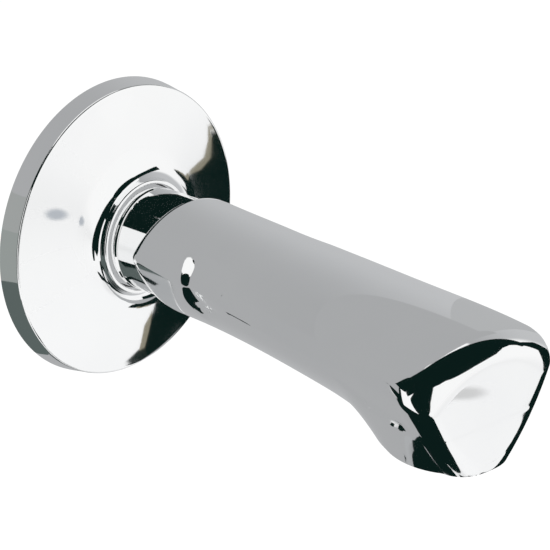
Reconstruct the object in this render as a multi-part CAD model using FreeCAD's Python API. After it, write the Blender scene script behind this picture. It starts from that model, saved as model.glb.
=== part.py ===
import FreeCAD, Part
import math
import os

# Bath spout for a wall, with a loose rosette and a screwed aerator.
# Millimetres. The origin is on the pipe axis at the finished wall, +Y goes into the wall, +Z is up.

V = FreeCAD.Vector
os.makedirs("parts", exist_ok=True)

# Shared clearances
RUNNING_GAP = 0.06          # radial gap of a turning or sliding fit

# Wall nipple. Places are distances from the finished wall.
THREAD_RADIUS = 10.48       # G 1/2 pipe thread, 20.955 mm across
THREAD_LENGTH = 13.0        # behind the finished wall
THREAD_LEAD = 1.0           # chamfer at the thread's end
THREAD_FRONT = 3.0          # thread that stands in front of the wall
UNDERCUT_RADIUS = 9.0
COLLAR_REAR = 5.0
COLLAR_FRONT = 13.8
COLLAR_STEP = 2.8           # from the shank's surface down to the spigot's
SPIGOT_LENGTH = 18.0
SPIGOT_LEAD = 0.8           # chamfer at the spigot's end
NIPPLE_BORE_RADIUS = 5.6
KEY_WIDTH = 12.0            # across flats of the hexagon for the fitting key
KEY_DEPTH = 7.0
RING_WIRE_RADIUS = 0.9      # O-ring section
RING_GAP = 0.02             # round a seated O-ring
RING_POSITIONS = (4.6, 9.4) # O-ring grooves, from the collar's front face
LOCK_GROOVE_POSITION = 14.4 # groove for the grub screw, from the collar's front face
LOCK_GROOVE_WIDTH = 5.4
LOCK_GROOVE_DEPTH = 1.0

# Shank and its washer
SHANK_RADIUS = 12.0
SHANK_BREAK = 0.3           # chamfer beside the joint line
SHANK_OVERLAP = 1.0         # reaches this far into the hub
WASHER_THICKNESS = 0.4
WASHER_RECESS = 0.25        # the washer's rim lies this far inside the chamfer

# Spout body, outside. A section is half width, corner height, crest height, keel height,
# corner radius, keel radius and flank radius.
HUB_REAR = 24.5
HUB_EDGE_RADIUS = 1.4
HUB_LENGTH = 13.5
BAR_MIDDLE = 75.0
BAR_END = 107.7
NOSE_FRONT = 117.0
NOSE_EDGE_RADIUS = 6.2      # rounding all round the front face
NOSE_TRIM = 0.02            # trimmed off the front face, so that the boss ends level with it
HUB_REAR_SECTION = (17.8, 2.9, 12.2, -14.9, 2.0, 6.1, 34.5)
HUB_FRONT_SECTION = (18.5, 2.1, 10.6, -15.6, 2.7, 6.7, 39.0)
BAR_MIDDLE_SECTION = (21.4, -1.4, 7.2, -20.0, 3.4, 10.7, 51.0)
BAR_END_SECTION = (23.3, -4.3, 3.6, -30.1, 2.8, 12.1, 146.0)
NOSE_SECTION = (23.6, -8.9, 2.6, -32.8, 2.7, 10.6, 68.0)
BAR_STATIONS = 9            # sections between the hub and the nose
NOSE_STATIONS = 6
LEAST_CORNER_RADIUS = 1.2
LEAST_KEEL_RADIUS = 2.0
LEAST_ARCH = 0.2            # least rise of the crest above its corners

# Spout body, inside
SOCKET_END_GAP = 0.6        # in front of the end of the spigot
WATERWAY_RADIUS = 7.4
WATERWAY_FRONT = 44.0
CAVITY_REAR = 42.0
CAVITY_FRONT = 110.0
CAVITY_WALL = 3.2
CAVITY_STATIONS = 7
CAVITY_FLOOR = 12.6         # above the outlet's lip
CAVITY_FLOOR_REAR = 18.0    # behind the outlet's axis

# Outlet. Heights are measured from the outlet's lip along its own axis.
OUTLET_DISTANCE = 102.8     # lip centre, from the wall
OUTLET_DROP = 24.8          # lip centre, below the pipe axis
OUTLET_TILT = 8.5           # degrees, square to the bar's slope
LIP_RADIUS = 13.2
LIP_CUT_REAR = 21.0         # the keel is level with the lip from here forwards
BOSS_HEIGHT = 13.0
BOSS_TAPER = 18.0           # degrees
BOSS_OVERLENGTH = 4.0       # trimmed off at the lip
BOSS_FILLET = 2.0
OUTLET_THREAD_RADIUS = 10.75 # M21.5 x 1
OUTLET_THREAD_DEPTH = 8.0
OUTLET_BORE_RADIUS = 9.3
OUTLET_BORE_TOP = 14.5

# Grub screw, M5 x 6
GRUB_RADIUS = 2.5
GRUB_LENGTH = 6.0
GRUB_KEY_WIDTH = 2.5
GRUB_KEY_DEPTH = 2.4
GRUB_POINT_RADIUS = 1.4
GRUB_POINT_LENGTH = 1.1

# Rosette and the rings in it
ROSETTE_RADIUS = 35.0
ROSETTE_TAPER = 0.65        # the rim is smaller by this at its front
ROSETTE_RIM = 5.2
ROSETTE_EDGE = 0.5
SHEET = 1.0
NECK_CLEARANCE = 0.4        # round the shank
NECK_WALL = 1.2
NECK_FRONT = 12.2
NECK_LENGTH = 1.3
FLARE_WIDTH = 5.4           # from the neck out to the cone
FLARE_DEPTH = 4.4           # from the neck's front back to the cone
FLARE_POINT_WIDTH = 1.6     # a point on the flare, between cone and neck
FLARE_POINT_DEPTH = 3.0
WALL_SEAL_WIDTH = 3.0
WALL_SEAL_THICKNESS = 1.6
GRIP_RING_THICKNESS = 1.2
GRIP_RING_LENGTH = 3.4
GRIP_RING_DEPTH = 2.0       # behind the neck's front
GRIP_LIP = 0.35             # depth of the groove between the ring's two lips
RING_SEAT_WALL = 0.9

# Aerator, from the lip upwards
HOUSING_BOTTOM = 0.6
HOUSING_TOP = 7.4
HOUSING_BORE_RADIUS = 9.3
LEDGE_RADIUS = 8.4
LEDGE_THICKNESS = 1.0
KEY_NOTCHES = 6
KEY_NOTCH_WIDTH = 2.2
KEY_NOTCH_DEPTH = 0.8
KEY_NOTCH_RADIUS = 9.8
GASKET_INNER_RADIUS = 9.4
GASKET_OUTER_RADIUS = 10.5
GRID_THICKNESS = 1.6
GRID_PITCH = 2.15
GRID_WALL = 0.4
SLEEVE_WALL = 0.9
AIR_SLOTS = 8
AIR_SLOT_WIDTH = 2.4
AIR_SLOT_HEIGHT = 1.2
SCREEN_GAP = 0.1            # between the sleeve and what lies in it
SCREEN_THICKNESS = 0.25
SCREEN_PITCH = 1.9
SCREEN_WIRE = 0.5
SPACER_HEIGHT = 0.8
SPACER_WALL = 0.8
JET_DISC_THICKNESS = 1.1
JET_SKIRT_WALL = 0.8
JET_HOLES = 16
JET_HOLE_RADIUS = 0.45
JET_CIRCLE_RADIUS = 3.7
CORE_HEIGHT = 1.6
CORE_LOW_RADIUS = 2.9
CORE_TOP_RADIUS = 2.3
CORE_RIBS = 8
RIB_RADIUS = 4.6
RIB_WIDTH = 0.6
RIB_HEIGHT = 0.4
REGULATOR_RING_RADIUS = 3.75
REGULATOR_RING_WIRE = 0.55
CAP_HEIGHT = 2.4
CAP_WALL = 0.5
CAP_RADIUS = 5.2
CAP_HOLES = 10
CAP_HOLE_RADIUS = 0.55
CAP_CIRCLE_RADIUS = 3.4
DOME_FLANGE_RADIUS = 9.0
DOME_FLANGE_THICKNESS = 0.7
DOME_LOW_RADIUS = 8.0
DOME_TOP_RADIUS = 6.2
DOME_TOP = 11.6
DOME_WALL = 0.6
DOME_SLOTS = 12
DOME_SLOT_WIDTH = 1.0
DOME_TOP_HOLES = 8
DOME_TOP_HOLE_RADIUS = 0.7
DOME_TOP_CIRCLE_RADIUS = 3.8

# Derived places and radii
SPIGOT_RADIUS = SHANK_RADIUS - COLLAR_STEP
SHANK_REAR = COLLAR_FRONT + WASHER_THICKNESS
SPIGOT_END = COLLAR_FRONT + SPIGOT_LENGTH
SOCKET_RADIUS = SPIGOT_RADIUS + RUNNING_GAP
SOCKET_END = SPIGOT_END + SOCKET_END_GAP
RING_CENTRE_RADIUS = SOCKET_RADIUS - RING_WIRE_RADIUS - RING_GAP
RING_GROOVE_RADIUS = RING_CENTRE_RADIUS - RING_WIRE_RADIUS - RING_GAP
GRUB_PLACE = COLLAR_FRONT + LOCK_GROOVE_POSITION
HUB_FRONT = HUB_REAR + HUB_LENGTH
ROSETTE_FRONT_RADIUS = ROSETTE_RADIUS - ROSETTE_TAPER
INNER_NECK_RADIUS = SHANK_RADIUS + NECK_CLEARANCE
NECK_RADIUS = INNER_NECK_RADIUS + NECK_WALL
FLARE_START_RADIUS = NECK_RADIUS + FLARE_WIDTH
FLARE_START = NECK_FRONT - FLARE_DEPTH
FLARE_POINT_RADIUS = NECK_RADIUS + FLARE_POINT_WIDTH
FLARE_POINT = NECK_FRONT - FLARE_POINT_DEPTH
GRIP_RING_RADIUS = SHANK_RADIUS + GRIP_RING_THICKNESS
GRIP_RING_FRONT = NECK_FRONT - GRIP_RING_DEPTH
GRIP_RING_REAR = GRIP_RING_FRONT - GRIP_RING_LENGTH
LEDGE_TOP = HOUSING_BOTTOM + LEDGE_THICKNESS
GRID_TOP = LEDGE_TOP + GRID_THICKNESS
INSERT_RADIUS = HOUSING_BORE_RADIUS - RUNNING_GAP
SLEEVE_BORE_RADIUS = INSERT_RADIUS - SLEEVE_WALL
SCREEN_RADIUS = SLEEVE_BORE_RADIUS - SCREEN_GAP
SPACER_BOTTOM = GRID_TOP + SCREEN_THICKNESS
UPPER_SCREEN_BOTTOM = SPACER_BOTTOM + SPACER_HEIGHT
SKIRT_BOTTOM = UPPER_SCREEN_BOTTOM + SCREEN_THICKNESS
NOSE_START = NOSE_FRONT - NOSE_EDGE_RADIUS
REACH = 2 * NOSE_FRONT      # side of the blocks that trim the body


def cylinder(radius, start, end):
    """Solid cylinder on the pipe axis between two distances from the wall."""
    return Part.makeCylinder(radius, end - start, V(0, -start, 0), V(0, -1, 0))


def tube(outer, inner, start, end):
    return cylinder(outer, start, end).cut(cylinder(inner, start - 1, end + 1))


def upright(radius, low, high, x=0.0, y=0.0):
    """Solid cylinder along the local Z axis."""
    return Part.makeCylinder(radius, high - low, V(x, y, low))


def ring(outer, inner, low, high):
    return upright(outer, low, high).cut(upright(inner, low - 1, high + 1))


def hexagon(width, low, high):
    """Hexagonal prism along the local Z axis, width measured across the flats."""
    corner = width / 2 / math.cos(math.pi / 6)
    angles = [math.radians(60 * i + 30) for i in range(7)]
    points = [V(corner * math.cos(a), corner * math.sin(a), low) for a in angles]
    return Part.Face(Part.makePolygon(points)).extrude(V(0, 0, high - low))


def along_pipe(shape, distance):
    """Turn a shape built on local +Z so that it points out of the wall from a distance."""
    shape.rotate(V(0, 0, 0), V(1, 0, 0), 90)
    shape.translate(V(0, -distance, 0))
    return shape


def at_outlet(shape):
    """Place a shape built on the outlet's own axis, with the lip at height 0."""
    shape.rotate(V(0, 0, 0), V(1, 0, 0), OUTLET_TILT)
    shape.translate(V(0, -OUTLET_DISTANCE, -OUTLET_DROP))
    return shape


def revolve(points):
    """Solid of revolution about the pipe axis from (radius, distance from the wall) points."""
    outline = Part.makePolygon([V(r, -d, 0) for r, d in points + points[:1]])
    return Part.Face(outline).revolve(V(0, 0, 0), V(0, 1, 0), 360)


def arc_middle(centre, radius, first, last):
    """Point half way round an arc between two points, on the side away from the centre."""
    a = V(first).sub(centre)
    b = V(last).sub(centre)
    half = a.add(b)
    half.normalize()
    return centre.add(half.multiply(radius))


def rounded_triangle(distance, section, inset=0.0):
    """Closed wire of arcs: arched top, two side corners, curved flanks and a rounded bottom."""
    half_width, corner_z, top, bottom, corner_r, bottom_r, side_r = section
    half_width -= inset
    top -= inset
    bottom += inset
    corner_r = max(corner_r, LEAST_CORNER_RADIUS)
    bottom_r = max(bottom_r - inset, LEAST_KEEL_RADIUS)
    corner_x = half_width - corner_r
    rise = top - corner_z
    if rise < corner_r + LEAST_ARCH:
        rise = corner_r + LEAST_ARCH
        corner_z = top - rise
    top_r = (corner_x ** 2 + rise ** 2 - corner_r ** 2) / (2 * (rise - corner_r))
    y = -distance
    top_centre = V(0, y, top - top_r)
    bottom_centre = V(0, y, bottom + bottom_r)

    def side(sign):
        corner = V(sign * corner_x, y, corner_z)
        to_corner = corner.sub(top_centre)
        to_corner.normalize()
        corner_top = corner.add(V(to_corner).multiply(corner_r))
        span = bottom_centre.sub(corner)
        length = span.Length
        near = side_r - corner_r
        far = side_r - bottom_r
        reach = (near ** 2 - far ** 2 + length ** 2) / (2 * length)
        offset = math.sqrt(near ** 2 - reach ** 2)
        unit = V(span).multiply(1 / length)
        normal = V(unit.z, 0, -unit.x).multiply(-sign)
        if normal.x * sign > 0:
            normal = normal.multiply(-1)
        centre = corner.add(V(unit).multiply(reach)).add(normal.multiply(offset))
        out_corner = corner.sub(centre)
        out_corner.normalize()
        out_bottom = bottom_centre.sub(centre)
        out_bottom.normalize()
        flank_top = corner.add(V(out_corner).multiply(corner_r))
        flank_low = bottom_centre.add(V(out_bottom).multiply(bottom_r))
        corner_middle = arc_middle(corner, corner_r, corner_top, flank_top)
        flank_middle = arc_middle(centre, side_r, flank_top, flank_low)
        return corner_top, corner_middle, flank_top, flank_middle, flank_low

    right = side(1)
    left = side(-1)
    crest = V(0, y, top)
    low = V(0, y, bottom)
    edges = [
        Part.Arc(left[0], crest, right[0]),
        Part.Arc(right[0], right[1], right[2]),
        Part.Arc(right[2], right[3], right[4]),
        Part.Arc(right[4], low, left[4]),
        Part.Arc(left[4], left[3], left[2]),
        Part.Arc(left[2], left[1], left[0]),
    ]
    return Part.Wire([edge.toShape() for edge in edges])


def slope(values, i):
    """Steady slope at a station, zero where the values turn (distance, value pairs)."""
    if i == 0 or i == len(values) - 1:
        j = min(i, len(values) - 2)
        return (values[j + 1][1] - values[j][1]) / (values[j + 1][0] - values[j][0])
    before = (values[i][1] - values[i - 1][1]) / (values[i][0] - values[i - 1][0])
    after = (values[i + 1][1] - values[i][1]) / (values[i + 1][0] - values[i][0])
    if before * after <= 0:
        return 0.0
    return 2 * before * after / (before + after)


def blend(values, distance):
    """Smooth curve through (distance, value) pairs."""
    i = 0
    while i < len(values) - 2 and distance > values[i + 1][0]:
        i += 1
    d0, v0 = values[i]
    d1, v1 = values[i + 1]
    length = d1 - d0
    t = (distance - d0) / length
    m0 = slope(values, i) * length
    m1 = slope(values, i + 1) * length
    return (2 * t ** 3 - 3 * t ** 2 + 1) * v0 + (t ** 3 - 2 * t ** 2 + t) * m0 \
        + (3 * t ** 2 - 2 * t ** 3) * v1 + (t ** 3 - t ** 2) * m1


def section_at(distance):
    """Rounded triangle of the spout at a distance from the wall."""
    stations = (HUB_REAR, HUB_FRONT, BAR_MIDDLE, BAR_END, NOSE_FRONT)
    sections = (HUB_REAR_SECTION, HUB_FRONT_SECTION, BAR_MIDDLE_SECTION, BAR_END_SECTION, NOSE_SECTION)
    return [blend([(d, s[k]) for d, s in zip(stations, sections)], distance) for k in range(7)]


def make_bar():
    """Outer form of hub and bar, up to the start of the nose edge."""
    step = (NOSE_START - HUB_REAR) / BAR_STATIONS
    places = [HUB_REAR + step * i for i in range(BAR_STATIONS + 1)]
    wires = [rounded_triangle(d, section_at(d)) for d in places]
    bar = Part.makeLoft(wires, True, False)
    rear_edges = [e for e in bar.Edges if abs(e.BoundBox.YMax - e.BoundBox.YMin) < 0.01
                  and abs(e.BoundBox.YMax + HUB_REAR) < 0.01]
    return bar.makeFillet(HUB_EDGE_RADIUS, rear_edges)


def make_nose():
    """Soft front edge of the nose, running in to the flat triangular front face."""
    wires = []
    for i in range(NOSE_STATIONS + 1):
        turn = math.pi / 2 * i / NOSE_STATIONS
        distance = NOSE_START + NOSE_EDGE_RADIUS * math.sin(turn)
        inset = NOSE_EDGE_RADIUS * (1 - math.cos(turn))
        wires.append(rounded_triangle(distance, section_at(distance), inset))
    return Part.makeLoft(wires, True, False)


def outlet_place(point):
    """Distance from the outlet's axis, and height above its lip."""
    turn = math.radians(OUTLET_TILT)
    y = point.y + OUTLET_DISTANCE
    z = point.z + OUTLET_DROP
    across = y * math.cos(turn) + z * math.sin(turn)
    height = z * math.cos(turn) - y * math.sin(turn)
    return math.hypot(point.x, across), height


def boss_radius(height):
    return LIP_RADIUS + height * math.tan(math.radians(BOSS_TAPER))


def make_boss():
    """Round boss under the nose, from below the lip up into the bar."""
    length = BOSS_HEIGHT + BOSS_OVERLENGTH
    boss = Part.makeCone(boss_radius(-BOSS_OVERLENGTH), boss_radius(BOSS_HEIGHT), length, V(0, 0, -BOSS_OVERLENGTH))
    return at_outlet(boss)


def round_boss(outside):
    """Fillet where the boss meets the flanks of the bar."""
    edges = []
    for edge in outside.Edges:
        middle = edge.valueAt((edge.FirstParameter + edge.LastParameter) / 2)
        distance, height = outlet_place(middle)
        on_boss = abs(distance - boss_radius(height)) < 0.02
        on_flank = height > 0.5 and middle.y > 0.5 - NOSE_FRONT
        if on_boss and on_flank and edge.Curve.TypeId != "Part::GeomLine":
            edges.append(edge)
    return outside.makeFillet(BOSS_FILLET, edges)


def make_cavity():
    """Water space inside the bar: the outer form set in by the wall, down to the outlet's floor."""
    step = (CAVITY_FRONT - CAVITY_REAR) / CAVITY_STATIONS
    places = [CAVITY_REAR + step * i for i in range(CAVITY_STATIONS + 1)]
    wires = [rounded_triangle(d, section_at(d), CAVITY_WALL) for d in places]
    cavity = Part.makeLoft(wires, True, False)
    below = Part.makeBox(REACH, REACH + CAVITY_FLOOR_REAR, REACH, V(-REACH / 2, -REACH, CAVITY_FLOOR - REACH))
    return cavity.cut(at_outlet(below))


def make_spout_body():
    """Casting: shank, hub, bar and nose, with its socket, water space and outlet."""
    outside = make_bar().fuse(make_nose()).fuse(make_boss())
    below = Part.makeBox(REACH, REACH + LIP_CUT_REAR, REACH, V(-REACH / 2, -REACH, -REACH))
    front = Part.makeBox(REACH, REACH, REACH, V(-REACH / 2, NOSE_TRIM - NOSE_FRONT - REACH, -REACH / 2))
    outside = round_boss(outside.cut(at_outlet(below)).cut(front))
    shank = cylinder(SHANK_RADIUS, SHANK_REAR, HUB_REAR + SHANK_OVERLAP)
    rear_edges = [e for e in shank.Edges if abs(e.BoundBox.YMin + SHANK_REAR) < 0.01]
    body = outside.fuse(shank.makeChamfer(SHANK_BREAK, rear_edges))
    body = body.cut(cylinder(SOCKET_RADIUS, SHANK_REAR - 1, SOCKET_END))
    body = body.cut(cylinder(WATERWAY_RADIUS, SOCKET_END - 1, WATERWAY_FRONT))
    body = body.cut(make_cavity())
    body = body.cut(at_outlet(upright(OUTLET_THREAD_RADIUS, -1, OUTLET_THREAD_DEPTH)))
    body = body.cut(at_outlet(upright(OUTLET_BORE_RADIUS, 0, OUTLET_BORE_TOP)))
    grub_hole = upright(GRUB_RADIUS + RUNNING_GAP, -SHANK_RADIUS * 2, 1 - SOCKET_RADIUS, 0, -GRUB_PLACE)
    return body.cut(grub_hole)


def make_wall_nipple():
    """Wall thread, collar, and the spigot that carries the spout."""
    profile = [
        (0, -THREAD_LENGTH), (THREAD_RADIUS - THREAD_LEAD, -THREAD_LENGTH),
        (THREAD_RADIUS, THREAD_LEAD - THREAD_LENGTH), (THREAD_RADIUS, THREAD_FRONT),
        (UNDERCUT_RADIUS, THREAD_FRONT), (UNDERCUT_RADIUS, COLLAR_REAR),
        (SHANK_RADIUS - SHANK_BREAK, COLLAR_REAR), (SHANK_RADIUS, COLLAR_REAR + SHANK_BREAK),
        (SHANK_RADIUS, COLLAR_FRONT - SHANK_BREAK), (SHANK_RADIUS - SHANK_BREAK, COLLAR_FRONT),
        (SPIGOT_RADIUS, COLLAR_FRONT), (SPIGOT_RADIUS, SPIGOT_END - SPIGOT_LEAD),
        (SPIGOT_RADIUS - SPIGOT_LEAD, SPIGOT_END), (0, SPIGOT_END),
    ]
    nipple = revolve(profile)
    nipple = nipple.cut(cylinder(NIPPLE_BORE_RADIUS, -THREAD_LENGTH - 1, SPIGOT_END + 1))
    nipple = nipple.cut(along_pipe(hexagon(KEY_WIDTH, 0, KEY_DEPTH + 1), SPIGOT_END - KEY_DEPTH))
    grooves = [(RING_GROOVE_RADIUS, COLLAR_FRONT + place, RING_WIRE_RADIUS + RING_GAP) for place in RING_POSITIONS]
    grooves.append((SPIGOT_RADIUS - LOCK_GROOVE_DEPTH, GRUB_PLACE, LOCK_GROOVE_WIDTH / 2))
    for radius, middle, half in grooves:
        nipple = nipple.cut(tube(SPIGOT_RADIUS + 1, radius, middle - half, middle + half))
    return nipple


def make_nipple_o_rings():
    middles = [V(0, -COLLAR_FRONT - place, 0) for place in RING_POSITIONS]
    return Part.makeCompound([Part.makeTorus(RING_CENTRE_RADIUS, RING_WIRE_RADIUS, m, V(0, 1, 0)) for m in middles])


def make_shank_washer():
    outer = SHANK_RADIUS - SHANK_BREAK - WASHER_RECESS
    return tube(outer, SOCKET_RADIUS, COLLAR_FRONT, SHANK_REAR)


def make_grub_screw():
    """Set screw with its point up in the spigot's groove and its hexagon socket below."""
    top = LOCK_GROOVE_DEPTH - SPIGOT_RADIUS - RUNNING_GAP
    shoulder = top - GRUB_POINT_LENGTH
    low = top - GRUB_LENGTH
    screw = upright(GRUB_RADIUS, low, shoulder)
    screw = screw.fuse(Part.makeCone(GRUB_RADIUS, GRUB_POINT_RADIUS, GRUB_POINT_LENGTH, V(0, 0, shoulder)))
    screw = screw.cut(hexagon(GRUB_KEY_WIDTH, low - 1, low + GRUB_KEY_DEPTH))
    screw.translate(V(0, -GRUB_PLACE, 0))
    return screw


def profile_arc(first, through, last):
    """Arc through three (radius, distance from the wall) points."""
    points = [V(radius, -distance, 0) for radius, distance in (first, through, last)]
    return Part.Arc(points[0], points[1], points[2]).toShape()


def profile_lines(points):
    """Straight edges through (radius, distance from the wall) points."""
    places = [V(radius, -distance, 0) for radius, distance in points]
    return [Part.makeLine(a, b) for a, b in zip(places[:-1], places[1:])]


def make_rosette():
    """Pressed cover: rim, shallow cone, flare and neck, with a seat for the grip ring."""
    face_radius = ROSETTE_FRONT_RADIUS - ROSETTE_EDGE
    lip_place = NECK_FRONT - NECK_WALL / 2
    neck_rear = NECK_FRONT - NECK_LENGTH
    seat_radius = GRIP_RING_RADIUS + RUNNING_GAP
    seat_outer = seat_radius + RING_SEAT_WALL
    shoulder = GRIP_RING_FRONT + RUNNING_GAP
    inner_flare = (FLARE_START_RADIUS, FLARE_START - SHEET)
    edges = profile_lines([
        (ROSETTE_RADIUS, 0), (ROSETTE_FRONT_RADIUS, ROSETTE_RIM - ROSETTE_EDGE),
        (face_radius, ROSETTE_RIM), (FLARE_START_RADIUS, FLARE_START),
    ])
    edges.append(profile_arc((FLARE_START_RADIUS, FLARE_START), (FLARE_POINT_RADIUS, FLARE_POINT),
                             (NECK_RADIUS, neck_rear)))
    edges += profile_lines([(NECK_RADIUS, neck_rear), (NECK_RADIUS, lip_place)])
    edges.append(profile_arc((NECK_RADIUS, lip_place), (NECK_RADIUS - NECK_WALL / 2, NECK_FRONT),
                             (INNER_NECK_RADIUS, lip_place)))
    edges += profile_lines([
        (INNER_NECK_RADIUS, lip_place), (INNER_NECK_RADIUS, shoulder), (seat_radius, shoulder),
        (seat_radius, GRIP_RING_REAR), (seat_outer, GRIP_RING_REAR), (seat_outer, FLARE_POINT - SHEET),
        inner_flare, (ROSETTE_FRONT_RADIUS - SHEET, ROSETTE_RIM - SHEET), (ROSETTE_RADIUS - SHEET, 0),
        (ROSETTE_RADIUS, 0),
    ])
    outline = Part.Wire(Part.__sortEdges__(edges))
    return Part.Face(outline).revolve(V(0, 0, 0), V(0, 1, 0), 360)


def make_rosette_wall_seal():
    outer = ROSETTE_FRONT_RADIUS - SHEET - RUNNING_GAP
    return tube(outer, outer - WALL_SEAL_WIDTH, 0, WALL_SEAL_THICKNESS)


def make_rosette_grip_ring():
    """Rubber ring in the rosette's neck, with two lips on the shank."""
    lip = GRIP_RING_LENGTH / 4
    inner = SHANK_RADIUS + RUNNING_GAP
    groove = inner + GRIP_LIP
    return revolve([
        (GRIP_RING_RADIUS, GRIP_RING_REAR), (GRIP_RING_RADIUS, GRIP_RING_FRONT), (inner, GRIP_RING_FRONT),
        (inner, GRIP_RING_FRONT - lip), (groove, GRIP_RING_FRONT - 1.5 * lip),
        (groove, GRIP_RING_REAR + 1.5 * lip), (inner, GRIP_RING_REAR + lip), (inner, GRIP_RING_REAR),
    ])


def turned_copies(shape, count, first=0.0):
    """Equal copies of a shape round the local Z axis."""
    copies = []
    for i in range(count):
        copy = shape.copy()
        copy.rotate(V(0, 0, 0), V(0, 0, 1), first + 360.0 * i / count)
        copies.append(copy)
    return Part.makeCompound(copies)


def hole_circle(radius, circle_radius, count, low, high, first=0.0):
    return turned_copies(upright(radius, low, high, circle_radius), count, first)


def honeycomb(width, pitch, limit, low, high):
    """Hexagonal prisms on a triangular pattern whose centres lie within the limit."""
    prisms = []
    rows = int(limit / pitch) + 2
    for row in range(-rows, rows + 1):
        for column in range(-rows, rows + 1):
            x = pitch * (column + 0.5 * (row % 2))
            y = pitch * row * math.cos(math.pi / 6)
            if math.hypot(x, y) < limit:
                prism = hexagon(width, low, high)
                prism.translate(V(x, y, 0))
                prisms.append(prism)
    return Part.makeCompound(prisms)


def make_aerator_housing():
    """Threaded ring with an inner ledge and notches for its key."""
    housing = ring(OUTLET_THREAD_RADIUS - RUNNING_GAP, LEDGE_RADIUS, HOUSING_BOTTOM, HOUSING_TOP)
    housing = housing.cut(upright(HOUSING_BORE_RADIUS, LEDGE_TOP, HOUSING_TOP + 1))
    notch = Part.makeBox(KEY_NOTCH_RADIUS, KEY_NOTCH_WIDTH, KEY_NOTCH_DEPTH + 1,
                         V(0, -KEY_NOTCH_WIDTH / 2, HOUSING_BOTTOM - 1))
    return at_outlet(housing.cut(turned_copies(notch, KEY_NOTCHES)))


def make_aerator_gasket():
    return at_outlet(ring(GASKET_OUTER_RADIUS, GASKET_INNER_RADIUS, HOUSING_TOP, OUTLET_THREAD_DEPTH))


def make_outlet_grid():
    """Honeycomb disc at the mouth of the aerator."""
    disc = upright(INSERT_RADIUS, LEDGE_TOP, GRID_TOP)
    cells = honeycomb(GRID_PITCH - GRID_WALL, GRID_PITCH, LEDGE_RADIUS - GRID_PITCH / 2, LEDGE_TOP - 1, GRID_TOP + 1)
    return at_outlet(disc.cut(cells))


def make_insert_sleeve():
    """Sleeve round the screens, with slots that let air in."""
    sleeve = ring(INSERT_RADIUS, SLEEVE_BORE_RADIUS, GRID_TOP, HOUSING_TOP)
    slot = Part.makeBox(HOUSING_BORE_RADIUS, AIR_SLOT_WIDTH, AIR_SLOT_HEIGHT,
                        V(0, -AIR_SLOT_WIDTH / 2, HOUSING_TOP - JET_DISC_THICKNESS - AIR_SLOT_HEIGHT))
    return at_outlet(sleeve.cut(turned_copies(slot, AIR_SLOTS)))


def make_screen(bottom):
    """Round screen with hexagonal meshes."""
    disc = upright(SCREEN_RADIUS, bottom, bottom + SCREEN_THICKNESS)
    return disc.cut(honeycomb(SCREEN_PITCH - SCREEN_WIRE, SCREEN_PITCH, SCREEN_RADIUS - SCREEN_PITCH / 2,
                              bottom - 1, bottom + 1))


def make_lower_screen():
    return at_outlet(make_screen(GRID_TOP))


def make_upper_screen():
    return at_outlet(make_screen(UPPER_SCREEN_BOTTOM))


def make_screen_spacer():
    return at_outlet(ring(SCREEN_RADIUS, SCREEN_RADIUS - SPACER_WALL, SPACER_BOTTOM, UPPER_SCREEN_BOTTOM))


def make_jet_disc():
    """Disc of fine jets on a skirt that stands on the upper screen."""
    disc = upright(SCREEN_RADIUS, SKIRT_BOTTOM, HOUSING_TOP)
    under = HOUSING_TOP - JET_DISC_THICKNESS
    disc = disc.cut(upright(SCREEN_RADIUS - JET_SKIRT_WALL, SKIRT_BOTTOM - 1, under))
    slot = Part.makeBox(HOUSING_BORE_RADIUS, AIR_SLOT_WIDTH, AIR_SLOT_HEIGHT,
                        V(0, -AIR_SLOT_WIDTH / 2, under - AIR_SLOT_HEIGHT))
    disc = disc.cut(turned_copies(slot, AIR_SLOTS))
    return at_outlet(disc.cut(hole_circle(JET_HOLE_RADIUS, JET_CIRCLE_RADIUS, JET_HOLES, under - 1, HOUSING_TOP + 1,
                                          180.0 / JET_HOLES)))


def make_regulator_cone():
    """Core of the flow regulator, with ribs that carry its O-ring."""
    core = Part.makeCone(CORE_LOW_RADIUS, CORE_TOP_RADIUS, CORE_HEIGHT, V(0, 0, HOUSING_TOP))
    rib = Part.makeBox(RIB_RADIUS, RIB_WIDTH, RIB_HEIGHT, V(0, -RIB_WIDTH / 2, HOUSING_TOP))
    return at_outlet(core.fuse(turned_copies(rib, CORE_RIBS).Solids))


def make_regulator_o_ring():
    height = HOUSING_TOP + RIB_HEIGHT + REGULATOR_RING_WIRE
    return at_outlet(Part.makeTorus(REGULATOR_RING_RADIUS, REGULATOR_RING_WIRE, V(0, 0, height)))


def make_regulator_cap():
    """Cap over the flow regulator, with inlet holes."""
    top = HOUSING_TOP + CAP_HEIGHT
    cap = upright(CAP_RADIUS, HOUSING_TOP, top)
    cap = cap.cut(upright(CAP_RADIUS - CAP_WALL, HOUSING_TOP - 1, top - CAP_WALL))
    return at_outlet(cap.cut(hole_circle(CAP_HOLE_RADIUS, CAP_CIRCLE_RADIUS, CAP_HOLES, HOUSING_TOP, top + 1)))


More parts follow.
